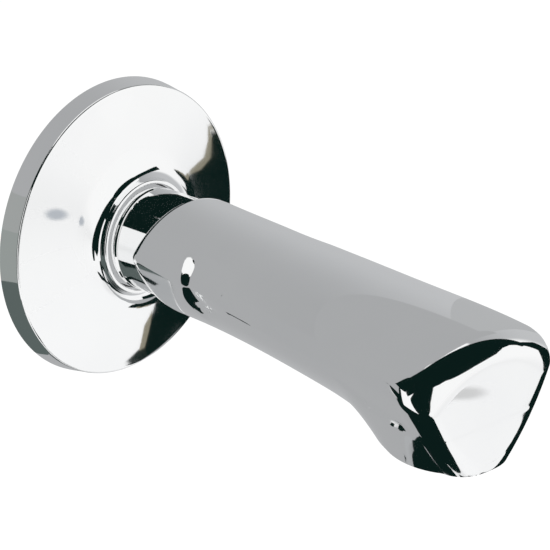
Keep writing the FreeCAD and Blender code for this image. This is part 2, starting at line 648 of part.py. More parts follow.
def make_dome_strainer():
    """Slotted dome that keeps grit out of the aerator."""
    flange_top = HOUSING_TOP + DOME_FLANGE_THICKNESS
    dome = Part.makeCone(DOME_LOW_RADIUS, DOME_TOP_RADIUS, DOME_TOP - HOUSING_TOP, V(0, 0, HOUSING_TOP))
    hollow = Part.makeCone(DOME_LOW_RADIUS - DOME_WALL, DOME_TOP_RADIUS - DOME_WALL,
                           DOME_TOP - DOME_WALL - HOUSING_TOP, V(0, 0, HOUSING_TOP))
    shape = upright(DOME_FLANGE_RADIUS, HOUSING_TOP, flange_top).fuse(dome).cut(hollow)
    slot_height = DOME_TOP - DOME_WALL - flange_top
    slot = Part.makeBox(DOME_LOW_RADIUS, DOME_SLOT_WIDTH, slot_height, V(0, -DOME_SLOT_WIDTH / 2, flange_top))
    shape = shape.cut(turned_copies(slot, DOME_SLOTS))
    return at_outlet(shape.cut(hole_circle(DOME_TOP_HOLE_RADIUS, DOME_TOP_CIRCLE_RADIUS, DOME_TOP_HOLES,
                                           flange_top, DOME_TOP + 1)))


makers = {
    "wall_nipple": make_wall_nipple,
    "nipple_o_rings": make_nipple_o_rings,
    "shank_washer": make_shank_washer,
    "spout_body": make_spout_body,
    "grub_screw": make_grub_screw,
    "rosette": make_rosette,
    "rosette_wall_seal": make_rosette_wall_seal,
    "rosette_grip_ring": make_rosette_grip_ring,
    "aerator_housing": make_aerator_housing,
    "aerator_gasket": make_aerator_gasket,
    "outlet_grid": make_outlet_grid,
    "insert_sleeve": make_insert_sleeve,
    "lower_screen": make_lower_screen,
    "screen_spacer": make_screen_spacer,
    "upper_screen": make_upper_screen,
    "jet_disc": make_jet_disc,
    "regulator_cone": make_regulator_cone,
    "regulator_o_ring": make_regulator_o_ring,
    "regulator_cap": make_regulator_cap,
    "dome_strainer": make_dome_strainer,
}

for node, make in makers.items():
    make().exportStep("parts/" + node + ".step")
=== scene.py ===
import math
import bmesh
import bpy
import numpy as np
from mathutils import Matrix, Vector


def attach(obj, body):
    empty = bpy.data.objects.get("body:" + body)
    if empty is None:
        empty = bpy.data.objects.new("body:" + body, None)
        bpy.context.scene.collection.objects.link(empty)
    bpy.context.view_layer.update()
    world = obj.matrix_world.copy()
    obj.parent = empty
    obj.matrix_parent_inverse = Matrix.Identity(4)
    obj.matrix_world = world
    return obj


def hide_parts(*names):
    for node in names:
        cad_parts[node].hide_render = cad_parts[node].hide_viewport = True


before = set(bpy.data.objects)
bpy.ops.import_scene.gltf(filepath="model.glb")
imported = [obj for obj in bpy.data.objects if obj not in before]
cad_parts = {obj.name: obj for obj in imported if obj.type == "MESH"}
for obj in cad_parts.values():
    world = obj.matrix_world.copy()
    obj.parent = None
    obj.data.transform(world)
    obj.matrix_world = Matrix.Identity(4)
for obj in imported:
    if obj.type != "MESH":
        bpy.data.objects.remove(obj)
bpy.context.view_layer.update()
scene = bpy.context.scene
scene.view_settings.view_transform = "Standard"
mm = 0.001
micrometre = 0.000001


def placed(name, data):
    thing = bpy.data.objects.new(name, data)
    scene.collection.objects.link(thing)
    return thing


# View. The camera stands in front of the spout, to its left and above it. Sizes are millimetres,
# the clips are metres.
viewSettings = {
    "azimuth": -46.124,
    "elevation": 20.786,
    "distance": 1000.0,
    "shiftRight": -37.826,
    "shiftUp": 11.714,
    "focalPixels": 4330.0,
    "framePixels": 550.0,
    "sensor": 36.0,
    "clipStart": 0.05,
    "clipEnd": 20.0,
}


def makeCamera(form):
    turn = math.radians(form["azimuth"])
    lift = math.radians(form["elevation"])
    right = Vector((math.cos(turn), math.sin(turn), 0))
    back = Vector((math.sin(turn) * math.cos(lift), -math.cos(turn) * math.cos(lift), math.sin(lift)))
    up = back.cross(right)
    place = back * form["distance"] - right * form["shiftRight"] - up * form["shiftUp"]
    data = bpy.data.cameras.new("camera")
    data.sensor_width = form["sensor"]
    data.lens = form["focalPixels"] / form["framePixels"] * form["sensor"]
    data.clip_start = form["clipStart"]
    data.clip_end = form["clipEnd"]
    camera = placed("camera", data)
    turnMatrix = Matrix((right, up, back)).transposed().to_4x4()
    camera.matrix_world = Matrix.Translation(place * mm) @ turnMatrix
    scene.camera = camera


makeCamera(viewSettings)
print("camera ready")


# Node trees. Shader sums are written as plain expressions on wires.
class Wire:
    def __init__(self, tree, socket):
        self.tree = tree
        self.socket = socket

    def maths(self, operation, other=0.0, swapped=False):
        node = self.tree.nodes.new("ShaderNodeMath")
        node.operation = operation
        pair = (other, self) if swapped else (self, other)
        for entry, value in zip(node.inputs, pair):
            plug(self.tree, entry, value)
        return Wire(self.tree, node.outputs[0])

    def __add__(self, other):
        return self.maths("ADD", other)

    def __radd__(self, other):
        return self.maths("ADD", other, True)

    def __sub__(self, other):
        return self.maths("SUBTRACT", other)

    def __rsub__(self, other):
        return self.maths("SUBTRACT", other, True)

    def __mul__(self, other):
        return self.maths("MULTIPLY", other)


def plug(tree, entry, value):
    if isinstance(value, Wire):
        tree.links.new(value.socket, entry)
    else:
        entry.default_value = value


class Board:
    def __init__(self, tree):
        self.tree = tree
        tree.nodes.clear()

    def add(self, kind, settings=None, sockets=None, output=0):
        node = self.tree.nodes.new(kind)
        for key, value in (settings or {}).items():
            setattr(node, key, value)
        for key, value in (sockets or {}).items():
            plug(self.tree, node.inputs[key], value)
        return Wire(self.tree, node.outputs[output]) if len(node.outputs) else None

    def ramp(self, value, low, high):
        # smooth step from 0 at low to 1 at high
        return self.add("ShaderNodeMapRange", {"interpolation_type": "SMOOTHSTEP"},
                        {"Value": value, "From Min": low, "From Max": high})

    def most(self, *wires):
        result = wires[0]
        for wire in wires[1:]:
            result = result.maths("MAXIMUM", wire)
        return result

    def mixColour(self, factor, first, second):
        return self.add("ShaderNodeMix", {"data_type": "RGBA"}, {0: factor, 6: first, 7: second}, 2)

    def noise(self, place, scale, detail=2.0):
        return self.add("ShaderNodeTexNoise", {}, {"Vector": place, "Scale": scale, "Detail": detail})

    def stretched(self, place, scale):
        return self.add("ShaderNodeMapping", {}, {"Vector": place, "Scale": scale})


def newMaterial(name):
    material = bpy.data.materials.new(name)
    material.use_nodes = True
    return material, Board(material.node_tree)


# Stage. A white floor and sky, with dark and grey reflection cards round the spout that gloss alone sees.
# Card outlines are degrees: across from straight out of the wall, positive to the right, and up.
stageForm = {
    "floorLevel": -0.46,
    "floorRadius": 9.0,
    "floorSides": 96,
    "floorColour": (0.9, 0.9, 0.9, 1.0),
    "floorRough": 0.9,
    "floorGlow": 0.27,
    "skyLight": 0.8,
    "lampPlace": (-0.7, -1.1, 1.5),
    "lampSize": 1.2,
    "lampPower": 12.0,
}
# Places are millimetres, tones are levels of red, green and blue.
neckMiddle = (0.0, -12.0, 0.0)
noseMiddle = (-10.0, -112.0, -20.0)
spoutMiddle = (0.0, -100.0, -10.0)
cardTones = {
    "dark": (0.0035, 0.012, 0.0105, 1.0),
    "tan": (0.27, 0.25, 0.19, 1.0),
    "grey": (0.43, 0.44, 0.45, 1.0),
    "wall": (0.414, 0.42, 0.428, 1.0),
    "brightWall": (0.462, 0.47, 0.478, 1.0),
    "rim": (0.31, 0.335, 0.325, 1.0),
    "rimHigh": (0.36, 0.375, 0.37, 1.0),
    "rimLow": (0.105, 0.13, 0.125, 1.0),
}
cardForm = {
    "step": 5,
    "nearest": 1e-5,
}
# Each card: middle, distance, longest view of it, tone, outline.
cards = (
    # ceiling
    (spoutMiddle, 399.0, 900.0, "dark", (
        (-45, 67), (-30, 62), (-24, 50), (0, 47), (30, 47.5), (55, 45), (64, 36), (68, 28), (71, 12),
        (78, 12), (80, 30), (84, 60), (88, 88), (-100, 88), (-80, 74))),
    # beside the neck on the right, and the warm edges of that card
    (neckMiddle, 120.0, 900.0, "dark", (
        (68.6, 1.5), (70.2, -3), (70.9, -6.5), (69.5, -7.8), (67.0, -7.4), (68.4, -11), (71, -15), (72, -30),
        (66, -37), (63.8, -40), (62.3, -43), (61.3, -46.5), (55, -50.3), (60, -51), (66, -49), (72, -49),
        (80, -52), (80, -4), (78, -9), (75, -7), (72, -1))),
    (neckMiddle, 118.0, 900.0, "tan", (
        (68.6, 1.0), (70.4, -3), (71.2, -6.6), (69.8, -8.0), (67, -7.5), (67, -6.6), (69.6, -5.8),
        (69.6, -3))),
    (neckMiddle, 118.0, 900.0, "tan", (
        (62.9, -41.5), (60.2, -44.5), (59.8, -48), (61.8, -47), (62.6, -43.5))),
    # above and beside the neck on the left, and under it
    (neckMiddle, 120.0, 900.0, "dark", (
        (-36, -20), (-33, -16), (-30, -5), (-27, 5), (-24, 15), (-21, 25), (-17, 35), (-10, 44), (0, 49),
        (8, 51), (8, 57), (-20, 58), (-36, 57), (-40, 40), (-66, 31), (-65, 10), (-64, -20), (-50, -28))),
    (neckMiddle, 121.0, 119.0, "dark", (
        (-84, 31), (-66, 31), (-40, 40), (-36, 57), (-45, 68), (-60, 66), (-76, 56), (-84, 45))),
    (neckMiddle, 120.0, 119.0, "dark", (
        (-84, -36), (-66, -36), (-60, -45), (-52, -55), (-46, -62), (-40, -67), (-44, -72), (-60, -66),
        (-72, -60), (-84, -52))),
    (neckMiddle, 119.0, 900.0, "grey", (
        (-47, -56), (-42, -64), (-30, -71), (-15, -75), (0, -76), (30, -75), (50, -69), (62, -62), (72, -50),
        (72, -40), (66, -47), (56, -58), (40, -66), (20, -70), (0, -70.5), (-20, -68), (-35, -62),
        (-44, -55))),
    (neckMiddle, 121.0, 114.0, "dark", ((-112, -60), (-84, -50), (-84, 60), (-112, 60))),
    # behind the rosette's rim
    (neckMiddle, 117.0, 105.0, "rimHigh", ((-180, 4), (-105, 4), (-110, 24), (-180, 24))),
    (neckMiddle, 117.0, 105.0, "rim", ((-180, -24), (-100, -24), (-105, 4), (-180, 4))),
    (neckMiddle, 117.0, 105.0, "rimLow", (
        (-180, -74), (-40, -74), (-40, -55), (-60, -50), (-95, -24), (-180, -24))),
    # close to the fold
    (neckMiddle, 42.0, 900.0, "dark", ((-37, 20), (-37, -12), (-41, -30), (-47, -30), (-54, 20))),
    (neckMiddle, 42.0, 900.0, "dark", (
        (-43, -44), (-44, -57), (-52, -63), (-64, -70), (-80, -78), (-88, -74), (-70, -62), (-58, -54),
        (-52, -47))),
    # over, beside and under the nose
    (noseMiddle, 55.0, 62.0, "dark", (
        (-118, 67), (-48, 67), (-34, 61), (-6, 49), (10, 45), (20, 38), (30, 32.5), (38, 29.5), (46, 29),
        (55, 30.5), (65, 34.5), (72, 33), (75, 40), (74, 50), (72, 60), (70, 88), (-118, 88))),
    (noseMiddle, 55.0, 62.0, "dark", (
        (-34, 61), (-6, 49), (-5, 38), (-3, 28), (2, 18), (4, 8), (8, 0), (9, -10), (12, -20), (15, -30),
        (14, -45), (18, -60), (28, -70), (34, -80), (34, -88), (-180, -88), (-180, -49), (-166, -53),
        (-158, -58), (-150, -54), (-142, -36), (-132, -24), (-122, -10), (-118, 8), (-33, 8))),
    (noseMiddle, 55.0, 62.0, "dark", ((160, -58), (180, -53), (180, -88), (160, -88))),
    (noseMiddle, 55.0, 62.0, "dark", (
        (72, 33), (78, 26), (83, 17), (78, 11), (72, 6), (68, 0), (64, -7), (61, -12), (63, -20), (68, -24),
        (80, -27), (112, -28), (112, 8), (92, 10), (90, 15), (88, 22), (80, 30), (75, 40))),
    (noseMiddle, 55.0, 62.0, "dark", (
        (62, -14), (65, -20), (64, -25), (58, -28), (50, -33), (42, -45), (36, -60), (40, -80), (80, -80),
        (112, -60), (112, -28), (80, -26), (68, -23))),
    # grey cards that paint the wall's reflection beside and over the nose
    (noseMiddle, 56.0, 55.0, "wall", ((-180, 42), (-96, 42), (-96, 87), (-180, 87))),
    (noseMiddle, 56.0, 55.0, "wall", ((96, 42), (180, 42), (180, 87), (96, 87))),
    (noseMiddle, 56.0, 55.0, "brightWall", ((102, 10), (126, 10), (126, 42), (102, 42))),
)
spotForm = {
    "points": 9,
    "solid": 0.35,
    "reach": 60.0,
}
# Soft grey spots that paint small reflections, seen in gloss alone: middle, distance, place, half width and
# half height in degrees, tone, strength.
reflectionSpots = (
    (neckMiddle, 42.0, (-5.5, -2.0), (6.0, 4.0), (0.49, 0.52, 0.56, 1.0), 1.0),
    (noseMiddle, 54.0, (44.0, -6.0), (8.5, 2.4), (0.45, 0.45, 0.45, 1.0), 0.6),
)
# Painted reflection of a grey wall behind the spout, worked out on a wide shell that gloss alone sees: tone
# in the middle, painted more to the right, less above.
# Pairs are degrees between which it fades.
reflectionShellForm = {
    "radius": 400.0,
    "fineness": 6,
    "middle": 0.42,
    "right": 0.13,
    "above": 0.1,
    # painted shade over the reflections seen from below: its strength here, the degrees over which it comes
    # in further down
    "paintedShadeBelow": 0.25,
    "tint": (0.985, 1.0, 1.02, 1.0),
    "brighter": (0, 40),
    "brighterEnd": (120, 165),
    "brighterTop": (10, 60),
    "dimmer": (45, 85),
    "darkBelow": (60, 72),
    "lean": 0.55,
    "leanTop": 40.0,
    "rightSide": (88, 98),
    "rightFoot": (-14, -6),
    "leftBack": (110, 122),
    "rightBack": (112, 118),
    "sidesTop": (54, 57),
    "paintedShadeBelowFade": (1, 13),
}


def seenDirectly(board):
    # 1 for the camera, and for gloss and glass that show the white background
    looks = [board.add("ShaderNodeLightPath", output=name)
             for name in ("Is Camera Ray", "Is Glossy Ray", "Is Transmission Ray")]
    return board.most(*looks)


def makeSky(form):
    world = bpy.data.worlds.new("sky")
    world.use_nodes = True
    scene.world = world
    board = Board(world.node_tree)
    strength = form["skyLight"] + seenDirectly(board) * (1 - form["skyLight"])
    sky = board.add("ShaderNodeBackground", {}, {"Color": (1, 1, 1, 1), "Strength": strength})
    board.add("ShaderNodeOutputWorld", {}, {"Surface": sky})


def makeFloor(form):
    turns = np.linspace(0, 2 * math.pi, form["floorSides"], endpoint=False)
    radius, level = form["floorRadius"], form["floorLevel"]
    rim = [(radius * math.cos(t), radius * math.sin(t), level) for t in turns]
    mesh = bpy.data.meshes.new("floor")
    mesh.from_pydata(rim, [], [tuple(range(len(rim)))])
    floor = placed("floor", mesh)
    material, board = newMaterial("floorPaper")
    paper = board.add("ShaderNodeBsdfPrincipled", {}, {
        "Base Color": form["floorColour"], "Roughness": form["floorRough"], "Specular IOR Level": 0.0,
        "Emission Color": (1, 1, 1, 1), "Emission Strength": seenDirectly(board) * form["floorGlow"]})
    # clear from below, so that the object's underside can be looked at
    clear = board.add("ShaderNodeBsdfTransparent")
    below = board.add("ShaderNodeNewGeometry", output="Backfacing")
    surface = board.add("ShaderNodeMixShader", {}, {0: below, 1: paper, 2: clear})
    board.add("ShaderNodeOutputMaterial", {}, {"Surface": surface})
    mesh.materials.append(material)


def makeLamp(form):
    data = bpy.data.lights.new("softbox", "AREA")
    data.size = form["lampSize"]
    data.energy = form["lampPower"]
    lamp = placed("softbox", data)
    lamp.location = form["lampPlace"]
    lamp.rotation_euler = (-Vector(form["lampPlace"])).to_track_quat("-Z", "Y").to_euler()
    lamp.visible_glossy = False


def directions(board, middle, radius):
    # degrees across and up of a point on a sphere
    place = board.add("ShaderNodeTexCoord", output="Object")
    away = board.add("ShaderNodeVectorMath", {"operation": "SUBTRACT"},
                     {0: place, 1: [value * mm for value in middle]})
    parts = [board.add("ShaderNodeSeparateXYZ", {}, {"Vector": away}, name) for name in "XYZ"]
    degree = math.degrees(1)
    across = parts[0].maths("ARCTAN2", 0 - parts[1]) * degree
    up = (parts[2] * (1 / (radius * mm))).maths("ARCSINE") * degree
    return across, up


def onSphere(middle, radius, across, up):
    turn, lift = math.radians(across), math.radians(up)
    ahead = radius * math.cos(lift)
    return Vector((middle[0] + ahead * math.sin(turn), middle[1] - ahead * math.cos(turn),
                   middle[2] + radius * math.sin(lift))) * mm


def cardMaterial(name, colour, cover):
    # paper that covers what is behind it where cover is 1
    material, board = newMaterial(name)
    tone, share = colour(board), cover(board)
    paper = board.add("ShaderNodeEmission", {}, {"Color": tone, "Strength": 1.0})
    clear = board.add("ShaderNodeBsdfTransparent")
    surface = board.add("ShaderNodeMixShader", {}, {0: share, 1: clear, 2: paper})
    board.add("ShaderNodeOutputMaterial", {}, {"Surface": surface})
    return material


def nearer(board, reach):
    # 1 for a view from the card's inner side and from within this distance
    close = board.add("ShaderNodeLightPath", output="Ray Length").maths("LESS_THAN", reach * mm)
    return close * (1 - board.add("ShaderNodeNewGeometry", output="Backfacing"))


def makeCard(name, middle, radius, reach, tone, outline):
    # an outline in degrees, cut into steps and bent onto its sphere
    step = cardForm["step"]
    bm = bmesh.new()
    bm.faces.new([bm.verts.new((across, up, 0)) for across, up in outline])
    for axis, limit in ((0, 180), (1, 90)):
        for cut in range(step - limit, limit, step):
            normal = Vector((1 - axis, axis, 0))
            bmesh.ops.bisect_plane(bm, geom=bm.verts[:] + bm.edges[:] + bm.faces[:], plane_co=normal * cut,
                                   plane_no=normal, dist=cardForm["nearest"])
    bmesh.ops.triangulate(bm, faces=bm.faces[:])
    for vertex in bm.verts:
        vertex.co = onSphere(middle, radius, vertex.co.x, vertex.co.y)
    bm.normal_update()
    outward = [f for f in bm.faces if f.normal.dot(f.calc_center_median() - Vector(middle) * mm) > 0]
    bmesh.ops.reverse_faces(bm, faces=outward)
    mesh = bpy.data.meshes.new(name)
    bm.to_mesh(mesh)
    bm.free()
    mesh.materials.append(cardMaterial(name, lambda board: cardTones[tone],
                                       lambda board: nearer(board, reach)))
    return mesh


def makeReflectionSpot(name, middle, radius, place, size, tone, strength):
    # a small square of the sphere with a soft round spot in it, a painted reflection
    count = spotForm["points"]
    steps = np.linspace(-1, 1, count)
    points = [onSphere(middle, radius, place[0] + size[0] * a, place[1] + size[1] * b)
              for b in steps for a in steps]
    corners = [count * i + j for i in range(count - 1) for j in range(count - 1)]
    faces = [(k, k + count, k + count + 1, k + 1) for k in corners]
    mesh = bpy.data.meshes.new(name)
    mesh.from_pydata(points, [], faces)

    def cover(board):
        across, up = directions(board, middle, radius)
        sideways = (across - place[0]) * (1 / size[0])
        upwards = (up - place[1]) * (1 / size[1])
        away = (sideways * sideways + upwards * upwards).maths("SQRT")
        return (1 - board.ramp(away, spotForm["solid"], 1.0)) * strength * nearer(board, spotForm["reach"])

    mesh.materials.append(cardMaterial(name, lambda board: tone, cover))
    return mesh


def makeReflectionShell(form):
    # a shell round the spout, seen only in gloss, that paints the grey reflection of a wall
    bm = bmesh.new()
    bmesh.ops.create_icosphere(bm, subdivisions=form["fineness"], radius=form["radius"] * mm)
    bmesh.ops.translate(bm, verts=bm.verts, vec=Vector(spoutMiddle) * mm)
    mesh = bpy.data.meshes.new("wall")
    bm.to_mesh(mesh)
    bm.free()

    # painted reflection tone: grey, lighter to the right, darker above, dark far below
    def colour(board):
        across, up = directions(board, spoutMiddle, form["radius"])
        rightness = board.ramp(across, *form["brighter"]) * (1 - board.ramp(across, *form["brighterEnd"]))
        level = form["middle"] + rightness * (1 - board.ramp(up, *form["brighterTop"])) * form["right"]
        level = level - board.ramp(up, *form["dimmer"]) * form["above"]
        wall = board.mixColour(level, (0, 0, 0, 1), form["tint"])
        return board.mixColour(board.ramp(0 - up, *form["darkBelow"]), wall, cardTones["dark"])

    # where the shell shows: its sides, and a painted shade over the view from below
    def cover(board):
        across, up = directions(board, spoutMiddle, form["radius"])
        lift = up.maths("MAXIMUM", 0.0).maths("MINIMUM", form["leanTop"]) * form["lean"]
        right = board.ramp(across + lift, *form["rightSide"]) * board.ramp(up, *form["rightFoot"])
        left = board.ramp(0 - across, *form["leftBack"])
        sides = board.most(right, left, board.ramp(across, *form["rightBack"]))
        paintedShadeBelow = board.ramp(0 - up, *form["paintedShadeBelowFade"]) * form["paintedShadeBelow"]
        return board.most(sides * (1 - board.ramp(up, *form["sidesTop"])), paintedShadeBelow)

    mesh.materials.append(cardMaterial("wall", colour, cover))
    return mesh


def makeCards():
    # each card is its own object, seen in reflections only
    meshes = [makeReflectionShell(reflectionShellForm)]
    meshes += [makeCard("card%02d" % number, *card) for number, card in enumerate(cards)]
    meshes += [makeReflectionSpot("spot%d" % number, *spot) for number, spot in enumerate(reflectionSpots)]
    for mesh in meshes:
        studio = placed(mesh.name, mesh)
        studio.visible_camera = False
        studio.visible_diffuse = False
        studio.visible_shadow = False


makeSky(stageForm)
makeFloor(stageForm)
makeLamp(stageForm)
makeCards()
print("stage ready")


# Finishes. Each is worked out in the piece's own place, in metres.
def newFinish(name):
    material, board = newMaterial(name)
    return material, board, board.add("ShaderNodeTexCoord", output="Object")


def closeFinish(board, sockets, height=None, depth=0.0):
    if height is not None:
        sockets["Normal"] = board.add("ShaderNodeBump", {},
                                      {"Height": height, "Strength": 1.0, "Distance": depth})
    surface = board.add("ShaderNodeBsdfPrincipled", {}, sockets)
    board.add("ShaderNodeOutputMaterial", {}, {"Surface": surface})


def chromeFinish(name, form):
    # bright plating: faint wiping haze, a trace of orange peel and a few dried drops
    material, board, place = newFinish(name)
    haze = board.noise(place, form["hazeScale"], 3.0)
    wipe = board.noise(board.stretched(place, form["wipeStretch"]), form["wipeScale"])
    peel = board.noise(place, form["peelScale"], 1.0)
    drops = board.ramp(board.noise(place, form["dropScale"], 0.0), *form["dropEdge"])
    rough = form["rough"] + board.ramp(haze, *form["hazeEdge"]) * form["hazeRough"]
    rough = rough + wipe * form["wipeRough"] + drops * form["dropRough"]
    colour = board.mixColour(board.ramp(haze, *form["toneEdge"]), form["colour"], form["hazeColour"])
    closeFinish(board, {"Base Color": colour, "Metallic": 1.0, "Roughness": rough}, peel, form["peelDepth"])
    return material


chromeForm = {
    "colour": (0.935, 0.94, 0.94, 1.0),
    "hazeColour": (0.915, 0.92, 0.925, 1.0),
    "hazeScale": 45.0,
    "hazeEdge": (0.4, 0.7),
    "toneEdge": (0.3, 0.75),
    "wipeScale": 40.0,
    "wipeStretch": (1.0, 0.12, 1.0),
    "peelScale": 420.0,
    "dropScale": 260.0,
    "dropEdge": (0.72, 0.8),
    "rough": 0.035,
    "hazeRough": 0.025,
    "wipeRough": 0.02,
    "dropRough": 0.01,
    "peelDepth": 0.0000006,
}


# Every patchy tone changes between these levels of its noise.
patchEdge = (0.35, 0.7)
patchDetail = 4.0
metalForm = {
    "patchScale": 160.0,
    "patchRough": 0.15,
    "markShare": 0.02,
    "markDepth": 0.000008,
}


def metalFinish(name, colour, darker, rough, markScale):
    # bare turned or rolled metal with tool marks round the pipe axis and a patchy tone
    form = metalForm
    material, board, place = newFinish(name)
    patch = board.noise(place, form["patchScale"], patchDetail)
    aside = markScale * form["markShare"]
    marks = board.noise(board.stretched(place, (aside, markScale, aside)), 1.0)
    tone = board.mixColour(board.ramp(patch, *patchEdge), colour, darker)
    sockets = {"Base Color": tone, "Metallic": 1.0, "Roughness": rough + patch * form["patchRough"]}
    closeFinish(board, sockets, marks, form["markDepth"])
    return material


def platedBrass(name, form):
    # plated in front of the thread, bare turned brass behind
    material, board, place = newFinish(name)
    ahead = 0 - board.add("ShaderNodeSeparateXYZ", {}, {"Vector": place}, "Y")
    plated = board.ramp(ahead, form["platedFrom"], form["platedFrom"] + form["platedBlend"])
    patch = board.ramp(board.noise(place, form["patchScale"], patchDetail), *patchEdge)
    haze = board.noise(place, form["hazeScale"], 3.0)
    marks = board.noise(board.stretched(place, form["markStretch"]), 1.0)
    brass = board.mixColour(patch, form["brass"], form["darkBrass"])
    colour = board.mixColour(plated, brass, form["plating"])
    bareRough = (form["brassRough"] + patch * form["patchRough"]) * (1 - plated)
    rough = bareRough + (form["platingRough"] + haze * form["hazeRough"]) * plated
    closeFinish(board, {"Base Color": colour, "Metallic": 1.0, "Roughness": rough},
                marks * (1 - plated), form["markDepth"])
    return material


platedBrassForm = {
    "platedFrom": 0.0046,
    "platedBlend": 0.0003,
    "patchScale": 160.0,
    "patchRough": 0.12,
    "hazeRough": 0.02,
    "hazeScale": 60.0,
    "markStretch": (50.0, 2600.0, 50.0),
    "brass": (0.62, 0.41, 0.17, 1.0),
    "darkBrass": (0.45, 0.29, 0.12, 1.0),
    "plating": (0.93, 0.935, 0.935, 1.0),
    "brassRough": 0.24,
    "platingRough": 0.03,
    "markDepth": 0.000008,
}


mouldedForm = {
    "broadShare": 0.06,
    "fineRough": 0.12,
}


def mouldedFinish(name, colour, darker, rough, grain, depth):
    # moulded plastic or rubber: fine grain with slightly uneven gloss and tone
    form = mouldedForm
    material, board, place = newFinish(name)
    fine = board.noise(place, grain, 3.0)
    broad = board.noise(place, grain * form["broadShare"])
    tone = board.mixColour(board.ramp(broad, *patchEdge), colour, darker)
    closeFinish(board, {"Base Color": tone, "Roughness": rough + fine * form["fineRough"]},
                fine, depth * micrometre)
    return material


rosetteChrome = {**chromeForm, "wipeStretch": (0.4, 1.0, 1.0), "rough": 0.03}
# Bare steel: tone, darker tone, roughness, scale of the tool marks.
metalLooks = {
    "screw_steel": ("screwSteel", (0.5, 0.5, 0.52, 1), (0.38, 0.38, 0.4, 1), 0.28, 900.0),
    "screen_steel": ("screenSteel", (0.56, 0.57, 0.58, 1), (0.44, 0.45, 0.46, 1), 0.3, 600.0),
}
# Moulded: tone, darker tone, roughness, scale of the grain and its depth in micrometres.
mouldedLooks = {
    "black_rubber": ("blackRubber", (0.02, 0.02, 0.021, 1), (0.034, 0.034, 0.036, 1), 0.55, 1800.0, 10),
    "grey_seal": ("sealFoam", (0.16, 0.165, 0.17, 1), (0.22, 0.22, 0.23, 1), 0.75, 1300.0, 40),
    "white_washer": ("washerPlastic", (0.66, 0.66, 0.64, 1), (0.58, 0.58, 0.56, 1), 0.4, 1500.0, 6),
    "housing_plastic": ("housingPlastic", (0.42, 0.43, 0.45, 1), (0.36, 0.37, 0.39, 1), 0.3, 1500.0, 6),
    "insert_plastic": ("insertPlastic", (0.62, 0.64, 0.65, 1), (0.54, 0.56, 0.57, 1), 0.34, 1600.0, 6),
    "grid_plastic": ("gridPlastic", (0.5, 0.53, 0.56, 1), (0.43, 0.46, 0.49, 1), 0.32, 1600.0, 6),
    "regulator_plastic": ("regulatorPlastic", (0.3, 0.42, 0.5, 1), (0.25, 0.36, 0.44, 1), 0.36, 1600.0, 6),
    "strainer_plastic": ("strainerPlastic", (0.68, 0.68, 0.66, 1), (0.6, 0.6, 0.58, 1), 0.4, 1600.0, 6),
}
finishes = {
    "body_chrome": chromeFinish("bodyChrome", chromeForm),
    "rosette_chrome": chromeFinish("rosetteChrome", rosetteChrome),
    "nipple_brass": platedBrass("platedBrass", platedBrassForm),
}
for finishName, look in metalLooks.items():
    finishes[finishName] = metalFinish(*look)
for finishName, look in mouldedLooks.items():
    finishes[finishName] = mouldedFinish(*look)
cadFinishes = {
    "nipple_o_rings": "black_rubber",
    "shank_washer": "white_washer",
    "grub_screw": "screw_steel",
    "rosette_wall_seal": "grey_seal",
    "rosette_grip_ring": "black_rubber",
    "aerator_housing": "housing_plastic",
    "aerator_gasket": "black_rubber",
    "outlet_grid": "grid_plastic",
    "insert_sleeve": "insert_plastic",
    "lower_screen": "screen_steel",
    "screen_spacer": "insert_plastic",
    "upper_screen": "screen_steel",
    "jet_disc": "insert_plastic",
    "regulator_cone": "regulator_plastic",
    "regulator_o_ring": "black_rubber",
    "regulator_cap": "regulator_plastic",
    "dome_strainer": "strainer_plastic",
}
# The rosette's mirror shows the studio, and neither the body nor what is inside it.
for nodeName, finishName in cadFinishes.items():
    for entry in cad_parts[nodeName].material_slots:
        entry.material = finishes[finishName]
    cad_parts[nodeName].visible_glossy = nodeName == "rosette_wall_seal"
print("finishes ready")


# Mesh helpers, in millimetres. The distances below, in metres, are those at which points count as one.
weldDistance = 1e-7
cutDistance = 1e-8


def newPiece(name, mesh, body, slotName, replaced):
    piece = placed(name, mesh)
    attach(piece, body)
    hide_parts(*replaced)
    mesh.materials.clear()
    mesh.materials.append(finishes[slotName])
    return piece


def meshFrom(name, points, faces, sharpAngle=None):
    # points in millimetres, faces as index tuples
    mesh = bpy.data.meshes.new(name)
    mesh.from_pydata((np.asarray(points) * mm).tolist(), [], faces)
    mesh.validate()
    finishMesh(mesh, sharpAngle)
    return mesh


def finishMesh(mesh, sharpAngle=None):
    bm = bmesh.new()
    bm.from_mesh(mesh)
    bmesh.ops.remove_doubles(bm, verts=bm.verts, dist=weldDistance)
    bmesh.ops.recalc_face_normals(bm, faces=bm.faces)
    bm.to_mesh(mesh)
    bm.free()
    mesh.shade_smooth()
    if sharpAngle:
        mesh.set_sharp_from_angle(angle=math.radians(sharpAngle))


def gridFaces(rows, columns, closeRows=False):
    # quads of a grid whose columns run round a loop
    faces = []
    for i in range(rows if closeRows else rows - 1):
        low = i * columns
        high = ((i + 1) % rows) * columns
        for j in range(columns):
            k = (j + 1) % columns
            faces.append((low + j, low + k, high + k, high + j))
    return faces


def arcPoints(centre, radius, start, end, count):
    # points of an arc in the (radius, distance) plane, angles in degrees
    turns = np.radians(np.linspace(start, end, count))
    return [(centre[0] + radius * math.cos(t), centre[1] + radius * math.sin(t)) for t in turns]


def turnedMesh(name, profile, segments, place, sharpAngle):
    # closed profile of (radius, height) turned round an axis, which place maps to the part's own axes
    profile = np.asarray(profile, float)
    turns = np.linspace(0, 2 * math.pi, segments, endpoint=False)
    points = np.empty((len(profile), segments, 3))
    points[:, :, 0] = profile[:, :1] * np.cos(turns)
    points[:, :, 1] = profile[:, :1] * np.sin(turns)
    points[:, :, 2] = profile[:, 1:]
    points = place(points.reshape(-1, 3))
    return meshFrom(name, points, gridFaces(len(profile), segments, closeRows=True), sharpAngle)


def alongPipe(points):
    # local z is the distance from the wall
    return np.stack([points[:, 0], -points[:, 2], points[:, 1]], axis=1)


